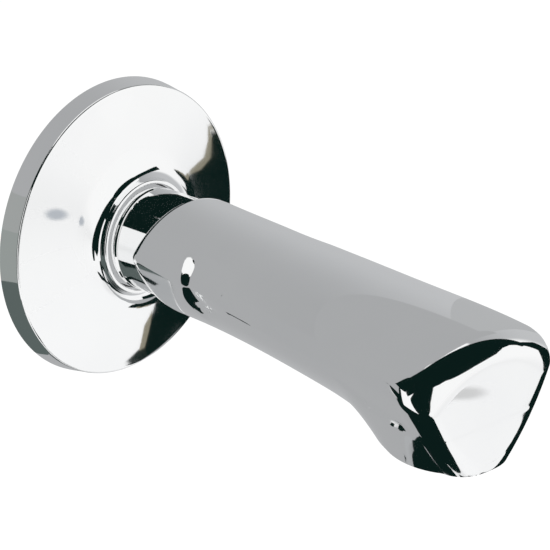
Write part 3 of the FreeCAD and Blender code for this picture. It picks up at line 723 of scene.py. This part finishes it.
# Spout body. Sections: half width, corner height, crest, keel, corner radius, keel radius, flank radius.
bodyForm = {
    "stations": (24.5, 38.0, 75.0, 107.7, 116.6),
    "sections": (
        (17.8, 2.9, 12.2, -14.9, 2.0, 6.1, 34.5),
        (18.5, 2.1, 10.6, -15.6, 2.7, 6.7, 39.0),
        (21.4, -1.4, 7.2, -20.0, 3.4, 10.7, 51.0),
        (23.3, -4.3, 3.6, -30.1, 2.8, 12.1, 146.0),
        (23.6, -8.9, 2.6, -32.8, 2.7, 10.6, 68.0),
    ),
    "rearEdge": 1.5,
    "noseFront": 117.0,
    "noseEdge": 6.3,
    "noseTopEdge": 5.7,
    "edgeChange": (-9.0, -2.0),
    "faceDome": 0.0008,
    "faceCentre": -14.0,
    "leastRise": 0.2,
    "columns": (46, 20, 58, 40),
    "sharp": 28,
}
outletForm = {
    "distance": 102.8,
    "drop": 24.8,
    "tilt": 8.5,
    "lip": 13.2,
    "taper": 26.5,
    "bossTop": 11.0,
    "bossReach": 4.0,
    "bossEdge": 0.4,
    "frontBlend": 0.2,
    "sideBlend": 3.0,
    "sideChange": (-0.7, 0.1),
    "keelBlend": 3.0,
    "keelChange": (0.2, 0.9),
    "cutRear": 19.5,
}
# Rays that find the skin: their length and how often it is halved. Runs: where each ends and its count.
skinForm = {
    "rayLength": 60.0,
    "halvings": 34,
    "middle": -2.0,
    "fall": 0.115,
    "fallFrom": 40.0,
    "edgeRows": 8,
    "rowRuns": ((36.0, 14), (47.0, 38), (99.0, 66)),
    "tiltRuns": ((22.0, 22), (62.0, 64), (89.2, 18)),
    "rearStep": 0.001,
}
# Fold between hub and bar. Its line: distance from the wall, height, width of the forward-facing side, depth.
creaseForm = {
    "line": (
        (37.4, 8.8, 0.8, 0.0),
        (39.0, 6.7, 1.3, 0.35),
        (40.9, 5.1, 1.9, 0.75),
        (42.2, 3.2, 2.0, 0.85),
        (42.4, 1.2, 2.2, 0.9),
        (41.7, -1.2, 2.9, 1.1),
        (41.3, -3.6, 3.8, 1.2),
        (41.6, -5.6, 3.8, 0.85),
        (42.2, -7.6, 3.6, 0.35),
        (43.2, -9.8, 3.4, 0.08),
        (44.4, -12.0, 3.2, 0.0),
    ),
    "recovery": 13.0,
    "fade": (4.6, 7.2),
    "span": (34.0, 62.0),
    "straight": 0.45,
    "rounded": 0.55,
    "steps": 120,
}


def outletLocal(p):
    # from the part's axes to the outlet's own axis, with its lip at height 0
    turn = math.radians(outletForm["tilt"])
    y = p[..., 1] + outletForm["distance"]
    z = p[..., 2] + outletForm["drop"]
    return np.stack([p[..., 0], y * math.cos(turn) + z * math.sin(turn),
                     z * math.cos(turn) - y * math.sin(turn)], axis=-1)


def fromOutlet(p):
    turn = math.radians(outletForm["tilt"])
    y = p[:, 1] * math.cos(turn) - p[:, 2] * math.sin(turn) - outletForm["distance"]
    z = p[:, 1] * math.sin(turn) + p[:, 2] * math.cos(turn) - outletForm["drop"]
    return np.stack([p[:, 0], y, z], axis=1)


def curveBetween(t, first, firstSlope, last, lastSlope):
    # cubic curve from the first value to the last as t goes from 0 to 1
    early = (2 * t ** 3 - 3 * t ** 2 + 1) * first + (t ** 3 - 2 * t ** 2 + t) * firstSlope
    return early + (3 * t ** 2 - 2 * t ** 3) * last + (t ** 3 - t ** 2) * lastSlope


def sectionAt(distance):
    # smooth curve through the stations for each of the seven sizes
    stations = np.array(bodyForm["stations"])
    values = np.array(bodyForm["sections"])
    d = np.clip(distance, stations[0], stations[-1])
    gaps = np.diff(stations)
    steps = np.diff(values, axis=0) / gaps[:, None]
    slopes = np.empty_like(values)
    slopes[0] = steps[0]
    slopes[-1] = steps[-1]
    for i in range(1, len(stations) - 1):
        both = steps[i - 1] * steps[i]
        total = steps[i - 1] + steps[i]
        slopes[i] = np.where(both > 0, 2 * both / np.where(total == 0, 1, total), 0)
    k = np.clip(np.searchsorted(stations, d, side="right") - 1, 0, len(gaps) - 1)
    t = ((d - stations[k]) / gaps[k])[..., None]
    gap = gaps[k][..., None]
    curve = curveBetween(t, values[k], slopes[k] * gap, values[k + 1], slopes[k + 1] * gap)
    return np.moveaxis(curve, -1, 0)


def sectionArcs(distance):
    # centres and radii of the arcs of the rounded triangle, right half
    halfWidth, cornerZ, crest, keel, cornerR, keelR, flankR = sectionAt(distance)
    cornerX = halfWidth - cornerR
    rise = np.maximum(crest - cornerZ, cornerR + bodyForm["leastRise"])
    cornerZ = crest - rise
    crestR = (cornerX ** 2 + rise ** 2 - cornerR ** 2) / (2 * (rise - cornerR))
    crestZ = crest - crestR
    keelZ = keel + keelR
    spanX = -cornerX
    spanZ = keelZ - cornerZ
    length = np.hypot(spanX, spanZ)
    near = flankR - cornerR
    far = flankR - keelR
    reach = (near ** 2 - far ** 2 + length ** 2) / (2 * length)
    offset = np.sqrt(near ** 2 - reach ** 2)
    flankX = cornerX + spanX / length * reach + spanZ / length * offset
    flankZ = cornerZ + spanZ / length * reach - spanX / length * offset
    return crestZ, crestR, cornerX, cornerZ, cornerR, flankX, flankZ, flankR, keelZ, keelR


def sectionDistance(x, z, distance):
    # distance to the rounded triangle in its own plane, negative inside
    crestZ, crestR, cornerX, cornerZ, cornerR, flankX, flankZ, flankR, keelZ, keelR = sectionArcs(distance)
    x = np.abs(x)
    aX, aZ = cornerX - flankX, cornerZ - flankZ
    bX, bZ = -flankX, keelZ - flankZ
    qX, qZ = x - flankX, z - flankZ
    crest = np.hypot(x, z - crestZ) - crestR
    corner = np.hypot(x - cornerX, z - cornerZ) - cornerR
    flank = np.hypot(qX, qZ) - flankR
    keel = np.hypot(x, z - keelZ) - keelR
    whole = np.maximum(crest, flank)
    besideCrest = cornerX * (z - crestZ) - (cornerZ - crestZ) * x < 0
    atCorner = besideCrest & (aX * qZ - aZ * qX > 0)
    atKeel = bX * qZ - bZ * qX < 0
    whole = np.where(atCorner, np.maximum(whole, corner), whole)
    return np.where(atKeel, np.maximum(whole, keel), whole)


def roundMeet(a, b, radius):
    # both, with a rounded outer edge
    edge = np.hypot(np.maximum(a + radius, 0), np.maximum(b + radius, 0))
    return np.minimum(-radius, np.maximum(a, b)) + edge


def roundJoin(a, b, radius):
    # either, with a filleted inner edge
    return -roundMeet(-a, -b, radius)


def smoothRamp(value, low, high):
    t = np.clip((value - low) / (high - low), 0, 1)
    return t * t * (3 - 2 * t)


def creaseCurve():
    # the fold's line drawn finely, its width and depth with it
    line = np.array(creaseForm["line"])
    t = np.arange(len(line))
    fine = np.linspace(0, len(line) - 1, creaseForm["steps"])
    tangents = np.gradient(line, axis=0)
    k = np.clip(fine.astype(int), 0, len(line) - 2)
    u = (fine - t[k])[:, None]
    return curveBetween(u, line[k], tangents[k], line[k + 1], tangents[k + 1])


creaseLine = creaseCurve()
creaseRun = np.gradient(creaseLine[:, :2], axis=0)
creaseRun /= np.hypot(creaseRun[:, 0], creaseRun[:, 1])[:, None]


def creaseDepth(distance, z):
    # steep on the hub's side of the line, easing back out along the bar
    near = (distance > creaseForm["span"][0]) & (distance < creaseForm["span"][1])
    depth = np.zeros_like(distance)
    if not near.any():
        return depth
    gapD = distance[near][:, None] - creaseLine[None, :, 0]
    gapZ = z[near][:, None] - creaseLine[None, :, 1]
    closest = np.hypot(gapD, gapZ).argmin(axis=1)
    row = np.arange(len(closest))
    run = creaseRun[closest]
    ahead = gapZ[row, closest] * run[:, 0] - gapD[row, closest] * run[:, 1]
    width, most = creaseLine[closest, 2], creaseLine[closest, 3]
    t = np.clip(ahead / width + 0.5, 0, 1)
    wall = creaseForm["straight"] * t + creaseForm["rounded"] * t * t * (3 - 2 * t)
    back = smoothRamp(ahead, width / 2, width / 2 + creaseForm["recovery"])
    depth[near] = most * wall * (1 - back) * (1 - smoothRamp(z[near], *creaseForm["fade"]))
    return depth


def bodyField(p):
    # negative inside the casting, before the lip is cut
    x, z, distance = p[:, 0], p[:, 2], -p[:, 1]
    bar = sectionDistance(x, z, distance)
    local = outletLocal(p)
    slope = math.radians(outletForm["taper"])
    aside = np.hypot(local[:, 0], local[:, 1])
    cone = (aside - outletForm["lip"] - local[:, 2] * math.tan(slope)) * math.cos(slope)
    dome = bodyForm["faceDome"] * (x ** 2 + (z - bodyForm["faceCentre"]) ** 2)
    front = distance - bodyForm["noseFront"] + dome
    high = smoothRamp(z, *bodyForm["edgeChange"])
    edge = bodyForm["noseEdge"] + (bodyForm["noseTopEdge"] - bodyForm["noseEdge"]) * high
    nose = roundMeet(bar, front, edge)
    boss = roundMeet(np.maximum(cone, local[:, 2] - outletForm["bossTop"]), front, outletForm["bossEdge"])
    # the boss runs level with the nose in front, and is filleted into flank and keel behind
    behind = local[:, 1] / np.maximum(aside, 1.0)
    blend = outletForm["frontBlend"] + outletForm["sideBlend"] * smoothRamp(behind, *outletForm["sideChange"])
    blend = blend + outletForm["keelBlend"] * smoothRamp(behind, *outletForm["keelChange"])
    low = local[:, 2] < outletForm["bossTop"] + outletForm["bossReach"]
    body = np.where(low, roundJoin(nose, boss, blend), nose)
    body = roundMeet(body, bodyForm["stations"][0] - distance, bodyForm["rearEdge"])
    return body + creaseDepth(distance, z)


def castRays(origins, directions, field):
    low = np.zeros(len(origins))
    high = np.full(len(origins), skinForm["rayLength"])
    for halving in range(skinForm["halvings"]):
        middle = (low + high) / 2
        inside = field(origins + directions * middle[:, None]) < 0
        low = np.where(inside, middle, low)
        high = np.where(inside, high, middle)
    return origins + directions * ((low + high) / 2)[:, None]


def sectionAngles(distance, centreZ):
    # directions from the middle of a section, closer together round its corners
    crestZ, crestR, cornerX, cornerZ, cornerR, flankX, flankZ, flankR, keelZ, keelR = [
        float(v) for v in sectionArcs(np.array(distance))]
    crestCount, cornerCount, flankCount, keelCount = bodyForm["columns"]
    toCorner = math.atan2(cornerZ - crestZ, cornerX)
    flankStart = math.atan2(cornerZ - flankZ, cornerX - flankX)
    flankEnd = math.atan2(keelZ - flankZ, -flankX)
    arcs = (
        (0, crestZ, crestR, math.pi / 2, toCorner, crestCount // 2),
        (cornerX, cornerZ, cornerR, toCorner, flankStart, cornerCount),
        (flankX, flankZ, flankR, flankStart, flankEnd, flankCount),
        (0, keelZ, keelR, flankEnd, -math.pi / 2, keelCount // 2),
    )
    angles = []
    for x, z, radius, start, end, count in arcs:
        for i in range(count):
            turn = start + (end - start) * i / count
            angles.append(math.atan2(z + radius * math.sin(turn) - centreZ, x + radius * math.cos(turn)))
    angles.append(-math.pi / 2)
    right = np.array(angles)
    left = math.pi - right[1:-1][::-1]
    return np.concatenate([right, left])


def rayHeight(distance):
    # height of the rays' start, lower towards the nose
    return skinForm["middle"] - skinForm["fall"] * max(distance - skinForm["fallFrom"], 0)


def makeBodySkin():
    rear = bodyForm["stations"][0]
    rearEdge = bodyForm["rearEdge"]
    turns = np.linspace(0, math.pi / 2, skinForm["edgeRows"])
    rows = [rear + rearEdge * (1 - math.cos(t)) for t in turns]
    # closer together over the fold
    for end, count in skinForm["rowRuns"]:
        rows += list(np.linspace(rows[-1], end, count)[1:])
    origins, directions = [], []
    for d in rows:
        angles = sectionAngles(d, rayHeight(d))
        zeros = np.zeros_like(angles)
        directions.append(np.stack([np.cos(angles), zeros, np.sin(angles)], axis=1))
        origins.append(np.tile((0.0, -d, rayHeight(d)), (len(angles), 1)))
    # from the last row the rays tilt forward over the nose
    last = directions[-1]
    tilts = [0.0]
    for end, count in skinForm["tiltRuns"]:
        tilts += list(np.linspace(tilts[-1], end, count)[1:])
    for tilt in np.radians(tilts[1:]):
        ahead = last * math.cos(tilt)
        ahead[:, 1] = -math.sin(tilt)
        directions.append(ahead)
        origins.append(origins[len(rows) - 1])
    count = len(directions)
    columns = len(last)
    # the first row lies on the rear plane itself, so its rays start just in front of it
    origins[0] = origins[0] + np.array((0, -skinForm["rearStep"], 0))
    points = list(castRays(np.concatenate(origins), np.concatenate(directions), bodyField))
    faces = gridFaces(count, columns)
    turnPlace = np.array([[0.0, -rows[-1], rayHeight(rows[-1])]])
    points.append(castRays(turnPlace, np.array([[0.0, -1.0, 0.0]]), bodyField)[0])
    points.append(np.array((0.0, -rear, rayHeight(rear))))
    front, back = len(points) - 2, len(points) - 1
    base = (count - 1) * columns
    for j in range(columns):
        k = (j + 1) % columns
        faces.append((base + j, base + k, front))
        faces.append((k, j, back))
    mesh = meshFrom("bodySkin", points, faces)
    trimLip(mesh)
    return mesh


def trimLip(mesh):
    # cut the keel and the boss off at the lip's plane
    bm = bmesh.new()
    bm.from_mesh(mesh)
    turn = math.radians(outletForm["tilt"])
    centre = Vector((0, -outletForm["distance"], -outletForm["drop"])) * mm
    normal = Vector((0, -math.sin(turn), math.cos(turn)))
    limit = -(outletForm["distance"] - outletForm["cutRear"]) * mm
    faces = [f for f in bm.faces if all(v.co.y < limit for v in f.verts)]
    verts = {v for f in faces for v in f.verts}
    edges = {e for f in faces for e in f.edges}
    bmesh.ops.bisect_plane(bm, geom=list(verts) + list(edges) + faces, plane_co=centre, plane_no=-normal,
                           dist=cutDistance, clear_outer=True)
    bmesh.ops.holes_fill(bm, edges=[e for e in bm.edges if e.is_boundary])
    bmesh.ops.triangulate(bm, faces=[f for f in bm.faces if len(f.verts) > 4])
    bmesh.ops.recalc_face_normals(bm, faces=bm.faces)
    bm.to_mesh(mesh)
    bm.free()


def closedCylinder(name, profile, place, segments):
    # solid of revolution whose profile starts and ends on the axis
    turns = np.linspace(0, 2 * math.pi, segments, endpoint=False)
    rings = [(r, h) for r, h in profile if r > 0]
    points = [(r * math.cos(t), r * math.sin(t), h) for r, h in rings for t in turns]
    points.append((0, 0, profile[0][1]))
    points.append((0, 0, profile[-1][1]))
    faces = gridFaces(len(rings), segments)
    first, last = len(points) - 2, len(points) - 1
    base = (len(rings) - 1) * segments
    for j in range(segments):
        k = (j + 1) % segments
        faces.append((k, j, first))
        faces.append((base + j, base + k, last))
    return meshFrom(name, place(np.array(points)), faces)


def combine(mesh, tools):
    # exact union or difference with each tool in turn
    work = placed("work", mesh)
    for operation, tool in tools:
        helper = placed("helper", tool)
        cut = work.modifiers.new("cut", "BOOLEAN")
        cut.operation = operation
        cut.solver = "EXACT"
        cut.object = helper
        graph = bpy.context.evaluated_depsgraph_get()
        result = bpy.data.meshes.new_from_object(work.evaluated_get(graph))
        work.modifiers.remove(cut)
        work.data = result
        bpy.data.objects.remove(helper)
    mesh = work.data
    bpy.data.objects.remove(work)
    return mesh


grubDistance = 28.2


def underHub(points):
    # local z is the height, on an axis under the hub
    return points + np.array((0.0, -grubDistance, 0.0))


# What is joined to the skin or cut from it: how, axes, sides, profile of radius and place on the axis.
turnedParts = {
    "shank": ("UNION", alongPipe, 192, ((0, 14.2), (11.7, 14.2), (12.0, 14.5), (12.0, 25.6), (0, 25.6))),
    "socket": ("DIFFERENCE", alongPipe, 96, (
        (0, 13.0), (9.26, 13.0), (9.26, 32.4), (7.4, 32.4), (7.4, 44.0), (0, 44.0))),
    "bore": ("DIFFERENCE", fromOutlet, 160, (
        (0, -1.0), (12.1, -1.0), (10.75, 0.35), (10.75, 8.0), (9.3, 8.0), (9.3, 14.5), (0, 14.5))),
    "grubHole": ("DIFFERENCE", underHub, 64, (
        (0, -17.0), (2.86, -17.0), (2.56, -15.0), (2.56, -8.0), (0, -8.0))),
}


def makeSpoutBody():
    skin = makeBodySkin()
    print("body skin", len(skin.polygons), "faces")
    tools = [(operation, closedCylinder(name, profile, place, sides))
             for name, (operation, place, sides, profile) in turnedParts.items()]
    mesh = combine(skin, tools)
    finishMesh(mesh, bodyForm["sharp"])
    return newPiece("spoutBody", mesh, "spout", "body_chrome", ("spout_body",))


spoutBody = makeSpoutBody()
spoutBody.visible_glossy = False
print("spout body ready", len(spoutBody.data.polygons))


# Rosette. Its hidden side runs from the neck's bore back to the wall, as radius and distance.
rosetteForm = {
    "radius": 35.0,
    "taper": 0.65,
    "rim": 5.2,
    "edge": 0.55,
    "neckInner": 12.4,
    "neckWall": 1.2,
    "neckFront": 12.2,
    "rimStep": 0.9,
    "rimBulge": 0.1,
    "edgeTurn": 80,
    "edgePoints": 9,
    "coneRadius": 19.2,
    "coneFront": 7.9,
    "coneFirst": 0.03,
    "conePoints": 14,
    "flareTop": 1.2,
    "flareOut": 0.35,
    "flareLift": 0.25,
    "flareFirst": 0.04,
    "flarePoints": 26,
    "lipPoints": 17,
    "hiddenSide": ((12.4, 10.26), (13.26, 10.26), (13.26, 6.8), (14.16, 6.8), (14.16, 7.7), (19.2, 6.9),
                   (33.35, 4.2), (34.0, 0.0)),
    "segments": 320,
    "sharp": 32,
}


def makeRosette(form):
    neck = form["neckInner"] + form["neckWall"]
    half = form["neckWall"] / 2
    front = form["radius"] - form["taper"]
    profile = [(form["radius"], 0.0), (form["radius"] - form["rimBulge"], form["rimStep"]),
               (front + form["rimBulge"], form["rim"] - form["edge"] - form["rimStep"])]
    profile += arcPoints((front - form["edge"], form["rim"] - form["edge"]), form["edge"], 0,
                         form["edgeTurn"], form["edgePoints"])
    # shallow cone, then a hollow curve up to the neck
    cone = np.linspace(form["coneFirst"], 1, form["conePoints"])
    profile += [(front - form["edge"] + (form["coneRadius"] - front + form["edge"]) * t,
                 form["rim"] + (form["coneFront"] - form["rim"]) * t) for t in cone]
    lean = (form["coneFront"] - form["rim"]) / (front - form["edge"] - form["coneRadius"])
    flareEnd = (neck, form["neckFront"] - form["flareTop"])
    control = (neck + form["flareOut"],
               form["coneFront"] + lean * (form["coneRadius"] - neck - form["flareOut"]) + form["flareLift"])
    for t in np.linspace(form["flareFirst"], 1, form["flarePoints"]):
        a, b, c = (1 - t) ** 2, 2 * t * (1 - t), t ** 2
        profile.append((a * form["coneRadius"] + b * control[0] + c * flareEnd[0],
                        a * form["coneFront"] + b * control[1] + c * flareEnd[1]))
    profile += arcPoints((neck - half, form["neckFront"] - half), half, 0, 180, form["lipPoints"])
    profile += form["hiddenSide"]
    mesh = turnedMesh("rosette", profile, form["segments"], alongPipe, form["sharp"])
    return newPiece("rosetteShell", mesh, "rosette", "rosette_chrome", ("rosette",))


makeRosette(rosetteForm)
print("rosette ready")


# Wall nipple, with a G 1/2 thread behind the wall
nippleForm = {
    "bore": 5.6,
    "threadCore": 9.6,
    "threadRidge": 0.6,
    "threadRadius": 10.46,
    "threadPitch": 1.814,
    "threadRear": -13.0,
    "threadFront": 3.0,
    "undercut": 9.0,
    "collarRear": 5.0,
    "collarFront": 13.8,
    "collar": 12.0,
    "break": 0.3,
    "spigot": 9.2,
    "spigotEnd": 31.8,
    "spigotLead": 0.8,
    "grooves": ((18.4, 0.92, 7.42), (23.2, 0.92, 7.42), (28.2, 2.7, 8.2)),
    "keyRadius": 6.928,
    "keyRear": 24.8,
    "keyPast": 1.0,
    "keySides": 6,
    "ridgeSteps": 72,
    "ridgeSides": 12,
    "segments": 160,
    "turnedSharp": 30,
    "sharp": 32,
}


def helixTree(form):
    # a ridge that winds up a cylinder
    tree = bpy.data.node_groups.new("helixRidge", "GeometryNodeTree")
    face = tree.interface
    for name in ("Turns", "Radius", "Height", "Ridge"):
        face.new_socket(name, in_out="INPUT", socket_type="NodeSocketFloat")
    face.new_socket("Finish", in_out="INPUT", socket_type="NodeSocketMaterial")
    face.new_socket("Geometry", in_out="OUTPUT", socket_type="NodeSocketGeometry")
    board = Board(tree)
    given = tree.nodes.new("NodeGroupInput")
    entry = {socket.name: Wire(tree, socket) for socket in given.outputs if socket.name}
    spiral = board.add("GeometryNodeCurveSpiral", {}, {
        "Resolution": form["ridgeSteps"], "Rotations": entry["Turns"], "Start Radius": entry["Radius"],
        "End Radius": entry["Radius"], "Height": entry["Height"]})
    section = board.add("GeometryNodeCurvePrimitiveCircle", {}, {
        "Resolution": form["ridgeSides"], "Radius": entry["Ridge"]})
    ridge = board.add("GeometryNodeCurveToMesh", {}, {
        "Curve": spiral, "Profile Curve": section, "Fill Caps": True})
    whole = board.add("GeometryNodeRealizeInstances", {}, {"Geometry": ridge})
    painted = board.add("GeometryNodeSetMaterial", {}, {"Geometry": whole, "Material": entry["Finish"]})
    board.add("NodeGroupOutput", {}, {"Geometry": painted})
    return tree


def helixMesh(tree, values):
    # the tree's mesh with these values, as plain faces
    seed = bpy.data.meshes.new("helixSeed")
    seed.from_pydata([(0, 0, 0)], [], [])
    carrier = placed("helixCarrier", seed)
    modifier = carrier.modifiers.new("helix", "NODES")
    modifier.node_group = tree
    for item in tree.interface.items_tree:
        if item.in_out == "INPUT":
            modifier[item.identifier] = values[item.name]
    bpy.context.view_layer.update()
    graph = bpy.context.evaluated_depsgraph_get()
    mesh = bpy.data.meshes.new_from_object(carrier.evaluated_get(graph))
    carrier.modifiers.remove(modifier)
    bpy.data.objects.remove(carrier)
    return mesh


def makeNipple(form):
    collar, edge, spigot = form["collar"], form["break"], form["spigot"]
    profile = [(form["bore"], form["threadRear"]), (form["threadCore"], form["threadRear"]),
               (form["threadCore"], form["threadFront"]), (form["undercut"], form["threadFront"]),
               (form["undercut"], form["collarRear"]), (collar - edge, form["collarRear"]),
               (collar, form["collarRear"] + edge), (collar, form["collarFront"] - edge),
               (collar - edge, form["collarFront"]), (spigot, form["collarFront"])]
    for middle, half, radius in form["grooves"]:
        profile += [(spigot, middle - half), (radius, middle - half),
                    (radius, middle + half), (spigot, middle + half)]
    profile += [(spigot, form["spigotEnd"] - form["spigotLead"]),
                (spigot - form["spigotLead"], form["spigotEnd"]), (form["bore"], form["spigotEnd"])]
    turned = turnedMesh("nippleTurned", profile, form["segments"], alongPipe, form["turnedSharp"])
    keyRear, keyFront = form["keyRear"], form["spigotEnd"] + form["keyPast"]
    keyProfile = [(0, keyRear), (form["keyRadius"], keyRear), (form["keyRadius"], keyFront), (0, keyFront)]
    key = closedCylinder("nippleKey", keyProfile, alongPipe, form["keySides"])
    mesh = combine(turned, [("DIFFERENCE", key)])
    length = form["threadFront"] - form["threadRear"] - 2 * form["threadRidge"]
    ridge = helixMesh(helixTree(form), {
        "Turns": length / form["threadPitch"], "Radius": (form["threadRadius"] - form["threadRidge"]) * mm,
        "Height": length * mm, "Ridge": form["threadRidge"] * mm, "Finish": finishes["nipple_brass"]})
    bm = bmesh.new()
    bm.from_mesh(ridge)
    start = (form["threadRear"] + form["threadRidge"]) * mm
    for vertex in bm.verts:
        x, y, z = vertex.co
        vertex.co = (x, -(z + start), y)
    print("nipple thread", len(bm.faces), "faces")
    bm.from_mesh(mesh)
    bm.to_mesh(mesh)
    bm.free()
    finishMesh(mesh, form["sharp"])
    piece = newPiece("wallNipple", mesh, "spout", "nipple_brass", ("wall_nipple",))
    piece.visible_glossy = False


makeNipple(nippleForm)
print("nipple ready")
